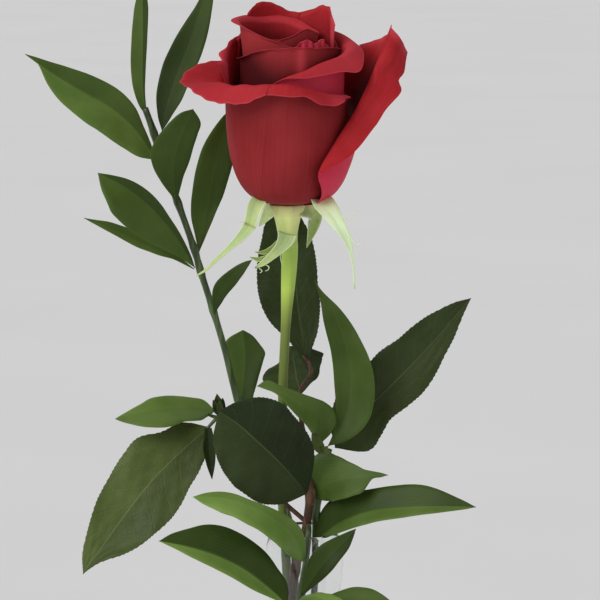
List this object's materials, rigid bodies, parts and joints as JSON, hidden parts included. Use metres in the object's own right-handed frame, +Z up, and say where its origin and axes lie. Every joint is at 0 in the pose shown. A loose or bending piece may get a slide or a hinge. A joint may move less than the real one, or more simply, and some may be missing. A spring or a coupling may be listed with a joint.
{
  "type": "rose in a bud vase",
  "caption": "Cut red rose in half-open bloom, with pointed ruscus leaves and broad serrated salal leaves, standing in a narrow-necked clear glass bud vase.",
  "frame": {"origin": "centre of the vase's foot, on the surface it stands on", "axes": "+Z up along the vase's axis, -Y towards the front of the rose, +X to the right of someone facing it"},
  "size_m": [0.1506, 0.0766, 0.3931],
  "materials": {
    "clear_glass": "clear, smooth, polished",
    "petal_red": "velvety matt petal skin, brighter on the rolled lips",
    "sepal_green": "pale downy green with lighter margins",
    "stem_green": "smooth satin green, yellower at the hip",
    "ruscus_stem_green": "smooth dark green",
    "ruscus_green": "smooth satin leaf with fine long veins",
    "salal_green": "satin leathery leaf with netted veins and a fine toothed edge",
    "twig_brown": "rough reddish-brown bark"
  },
  "bodies": {
    "root": {"petal_back_left": "petal_red", "petal_back_right": "petal_red", "petal_folded": "petal_red", "petal_heart_core": "petal_red", "petal_heart_middle": "petal_red", "petal_heart_outer": "petal_red", "petal_inner_back": "petal_red", "petal_inner_left": "petal_red", "petal_inner_right": "petal_red", "petal_outer_back": "petal_red", "petal_outer_front": "petal_red", "petal_outer_left": "petal_red", "petal_outer_right": "petal_red", "petal_peeled": "petal_red", "petal_second_back": "petal_red", "petal_second_left": "petal_red", "petal_second_right": "petal_red", "petal_third_back": "petal_red", "petal_third_front": "petal_red", "rose_hip": "stem_green", "rose_stem": "stem_green", "salal_leaf_1": "salal_green", "salal_leaf_2": "salal_green", "salal_leaf_3": "salal_green", "salal_leaf_4": "salal_green", "salal_leaf_5": "salal_green", "salal_side_twig": "twig_brown", "salal_twig": "twig_brown", "sepal_front": "sepal_green", "sepal_left": "sepal_green", "sepal_left_back": "sepal_green", "sepal_right": "sepal_green", "sepal_right_back": "sepal_green", "short_leaf_1": "ruscus_green", "short_leaf_2": "ruscus_green", "short_leaf_3": "ruscus_green", "short_leaf_4": "ruscus_green", "short_stem": "ruscus_stem_green", "sprig_leaf_1": "ruscus_green", "sprig_leaf_2": "ruscus_green", "sprig_leaf_3": "ruscus_green", "sprig_leaf_4": "ruscus_green", "sprig_leaf_5": "ruscus_green", "sprig_stem": "ruscus_stem_green", "tall_leaf_1": "ruscus_green", "tall_leaf_10": "ruscus_green", "tall_leaf_2": "ruscus_green", "tall_leaf_3": "ruscus_green", "tall_leaf_4": "ruscus_green", "tall_leaf_5": "ruscus_green", "tall_leaf_6": "ruscus_green", "tall_leaf_7": "ruscus_green", "tall_leaf_8": "ruscus_green", "tall_leaf_9": "ruscus_green", "tall_stem": "ruscus_stem_green", "vase": "clear_glass"}
  },
  "joints": []
}
